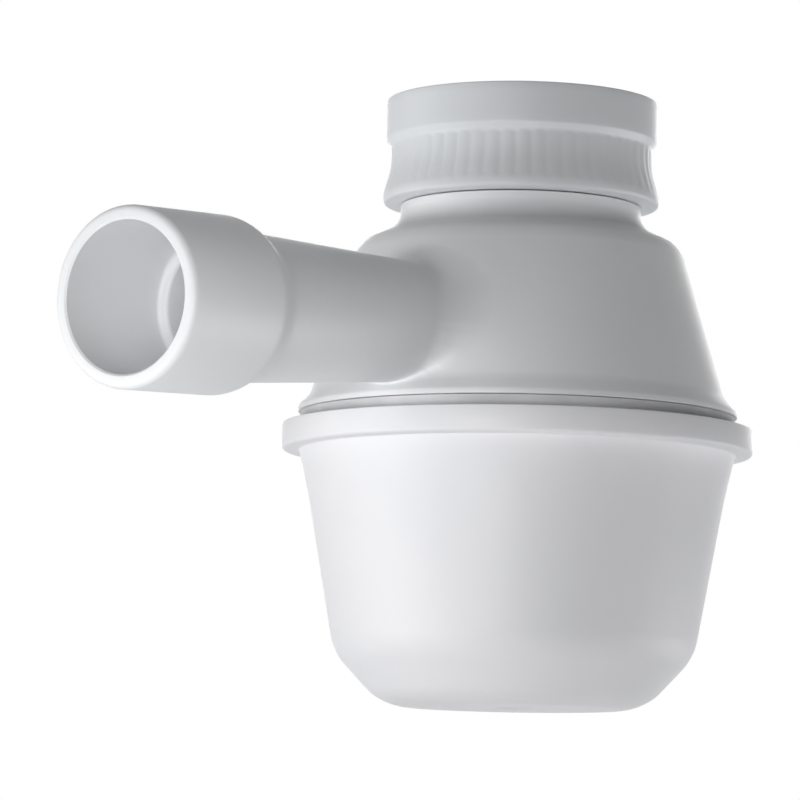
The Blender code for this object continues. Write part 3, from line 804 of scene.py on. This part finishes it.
class TRAP_OT_dip_tube(bpy.types.Operator):
    """Model the dip tube that hangs in the neck by its thin flange"""
    bl_idname = "bottle_trap.dip_tube"
    bl_label = "Dip tube"

    def execute(self, context):
        sizes = context.scene.trap_tube
        outline = [
            (sizes.bore, sizes.foot, FINE_EDGE),
            (sizes.radius, sizes.foot, FINE_EDGE),
            (sizes.radius, sizes.flange_foot, 0),
            (sizes.flange_radius, sizes.flange_foot, FINE_EDGE / 2),
            (sizes.flange_radius, sizes.top, FINE_EDGE),
            (sizes.bore, sizes.top, sizes.mouth_round),
        ]
        piece = as_object(turned_mesh(outline, TUBE_SIDES, closed=True), "dip_tube_moulding")
        finishes = context.scene.trap_finishes
        place(piece, "dip_tube",
              plastic("tube_plastic", finishes.tube, finishes.roughness, line_height=0))
        return {"FINISHED"}


class TRAP_OT_rings(bpy.types.Operator):
    """Model the flat washer in the nut and the flat seal over the cup"""
    bl_idname = "bottle_trap.rings"
    bl_label = "Washer and seal"

    def execute(self, context):
        sizes = context.scene.trap_rings
        finishes = context.scene.trap_finishes
        rings = [
            ("washer_ring", "inlet_washer", "washer_rubber", WASHER_BOX,
             sizes.washer_bore, finishes.washer),
            ("seal_ring", "cup_seal", "seal_rubber", SEAL_BOX,
             sizes.seal_bore, finishes.seal),
        ]
        for name, node, slot, (low, high), bore, tone in rings:
            foot, top = low.z - sizes.swell, high.z + sizes.swell
            outline = [(bore, foot, sizes.edge), (high.y, foot, sizes.edge),
                       (high.y, top, sizes.edge), (bore, top, sizes.edge)]
            piece = as_object(turned_mesh(outline, LARGE_SIDES, closed=True), name)
            place(piece, node, rubber(slot, tone))
        return {"FINISHED"}


def lamp(name, target, azimuth, elevation, distance, width, height, power):
    """Soft lamp round a target, unseen by the camera. Azimuth 0 is the side at -Y and 90 at +X."""
    data = bpy.data.lights.new(name, "AREA")
    data.shape = "RECTANGLE"
    data.size = width
    data.size_y = height
    data.energy = power
    around, up = math.radians(azimuth), math.radians(elevation)
    away = Vector((math.sin(around) * math.cos(up), -math.cos(around) * math.cos(up), math.sin(up)))
    light = bpy.data.objects.new(name, data)
    light.location = Vector(target) + distance * away
    light.rotation_euler = (-away).to_track_quat("-Z", "Y").to_euler()
    light.visible_camera = False
    bpy.context.scene.collection.objects.link(light)


def seen_factor(tree):
    """Socket that is 1 for what the camera, a reflection or glass shows, and 0 for plain light."""
    link = tree.links.new
    path = node_in(tree, "ShaderNodeLightPath", "path")
    seen = node_in(tree, "ShaderNodeMath", "seen", operation="ADD")
    link(path.outputs["Is Camera Ray"], seen.inputs[0])
    link(path.outputs["Is Glossy Ray"], seen.inputs[1])
    through = node_in(tree, "ShaderNodeMath", "through", operation="ADD", use_clamp=True)
    link(seen.outputs[0], through.inputs[0])
    link(path.outputs["Is Transmission Ray"], through.inputs[1])
    return through.outputs[0]


def floor_paint():
    """Pale matt paint that looks nearly white, and keeps a little of the shadow on it."""
    whiteness = 0.85
    paint = bpy.data.materials.new("floor_paint")
    paint.use_nodes = True
    paint.cycles.emission_sampling = "NONE"
    tree = paint.node_tree
    link = tree.links.new
    shader = tree.nodes["Principled BSDF"]
    shader.inputs["Base Color"].default_value = (0.9, 0.9, 0.9, 1)
    shader.inputs["Roughness"].default_value = 0.8
    glow = node_in(tree, "ShaderNodeEmission", "glow", {"Color": (1, 1, 1, 1), "Strength": 1})
    whitened = node_in(tree, "ShaderNodeMath", "whitened", {1: whiteness}, operation="MULTIPLY")
    link(seen_factor(tree), whitened.inputs[0])
    surface = node_in(tree, "ShaderNodeMixShader", "surface")
    link(whitened.outputs[0], surface.inputs["Fac"])
    link(shader.outputs["BSDF"], surface.inputs[1])
    link(glow.outputs["Emission"], surface.inputs[2])
    link(surface.outputs["Shader"], tree.nodes["Material Output"].inputs["Surface"])
    return paint


def studio_world(light_level):
    """Plain world: white where it is seen, and a little even grey light."""
    world = bpy.data.worlds.new("studio")
    world.use_nodes = True
    bpy.context.scene.world = world
    tree = world.node_tree
    grey = (light_level, light_level, light_level, 1)
    white = node_in(tree, "ShaderNodeMix", "white", {"A": grey, "B": (1, 1, 1, 1)}, data_type="RGBA")
    tree.links.new(seen_factor(tree), white.inputs["Factor"])
    tree.links.new(white.outputs["Result"], tree.nodes["Background"].inputs["Color"])


class TRAP_OT_stage(bpy.types.Operator):
    """Set the pale floor, the soft light and the camera in front of the outlet"""
    bl_idname = "bottle_trap.stage"
    bl_label = "Stage"

    def execute(self, context):
        sizes = context.scene.trap_stage
        bm = bmesh.new()
        bmesh.ops.create_grid(bm, x_segments=1, y_segments=1, size=sizes.floor_size / 2)
        bmesh.ops.translate(bm, vec=(0, 0, -sizes.floor_drop), verts=bm.verts)
        floor = as_object(bm, "floor")
        floor.data.materials.append(floor_paint())
        studio_world(0.02)
        middle = (0, 0, CAD_HIGH[2] / 2)
        outlet = context.scene.trap_outlet
        mouth = outlet_frame(outlet) @ Vector((0, 0, outlet.reach))
        long_lamp = {"target": middle, "distance": 0.72, "width": 0.60, "height": 0.25}
        lamp("left", azimuth=240, elevation=-20, power=2.05, **long_lamp)
        lamp("right", azimuth=60, elevation=-20, power=1.20, **long_lamp)
        lamp("right_front", azimuth=30, elevation=-20, power=0.80, **long_lamp)
        lamp("right_rear", azimuth=120, elevation=12, power=1.60, **long_lamp)
        lamp("rear", middle, 210, 5, distance=0.90, width=0.60, height=0.50, power=1.25)
        lamp("top", middle, 0, 90, distance=1.00, width=0.80, height=0.80, power=1.75)
        lamp("outlet", mouth, 300, -12, distance=0.28, width=0.15, height=0.15, power=0.56)
        camera = bpy.data.cameras.new("camera")
        camera.lens = sizes.lens
        camera.sensor_width = 36
        camera.clip_start = 0.05
        view = bpy.data.objects.new("camera", camera)
        line_of_sight = Vector(sizes.aim) - Vector(sizes.eye)
        facing = line_of_sight.to_track_quat("-Z", "Y").to_matrix().to_4x4()
        roll = Matrix.Rotation(sizes.roll, 4, "Z")
        view.matrix_world = Matrix.Translation(sizes.eye) @ facing @ roll
        context.scene.collection.objects.link(view)
        context.scene.camera = view
        context.scene.view_settings.view_transform = "Standard"
        return {"FINISHED"}


class TRAP_PT_pieces(bpy.types.Panel):
    """Lists the trap's pieces with their sizes"""
    bl_idname = "TRAP_PT_pieces"
    bl_label = "Bottle trap"
    bl_space_type = "VIEW_3D"
    bl_region_type = "UI"
    bl_category = "Bottle trap"

    def draw(self, context):
        layout = self.layout
        for operator in OPERATORS:
            layout.operator(operator.bl_idname)
        for setting in SETTINGS:
            group = getattr(context.scene, setting)
            box = layout.box()
            box.label(text=group.__doc__)
            for name in group.__annotations__:
                box.prop(group, name)


OPERATORS = (TRAP_OT_body, TRAP_OT_cup, TRAP_OT_nut, TRAP_OT_dip_tube, TRAP_OT_rings, TRAP_OT_stage)
SETTINGS = {
    "trap_body": BodySizes,
    "trap_outlet": OutletSizes,
    "trap_cup": CupSizes,
    "trap_nut": NutSizes,
    "trap_tube": TubeSizes,
    "trap_rings": RingSizes,
    "trap_finishes": Finishes,
    "trap_stage": StageSizes,
}


def register():
    """Register the settings, the operators and the panel."""
    for group in SETTINGS.values():
        bpy.utils.register_class(group)
    for operator in OPERATORS:
        bpy.utils.register_class(operator)
    bpy.utils.register_class(TRAP_PT_pieces)
    for name, group in SETTINGS.items():
        setattr(bpy.types.Scene, name, PointerProperty(type=group))


def unregister():
    """Take all of them out again."""
    for name in SETTINGS:
        delattr(bpy.types.Scene, name)
    bpy.utils.unregister_class(TRAP_PT_pieces)
    for operator in reversed(OPERATORS):
        bpy.utils.unregister_class(operator)
    for group in reversed(SETTINGS.values()):
        bpy.utils.unregister_class(group)


def main():
    """Model all pieces and set the stage."""
    register()
    bpy.ops.bottle_trap.body()
    bpy.ops.bottle_trap.cup()
    bpy.ops.bottle_trap.nut()
    bpy.ops.bottle_trap.dip_tube()
    bpy.ops.bottle_trap.rings()
    bpy.ops.bottle_trap.stage()


if __name__ == "__main__":
    main()
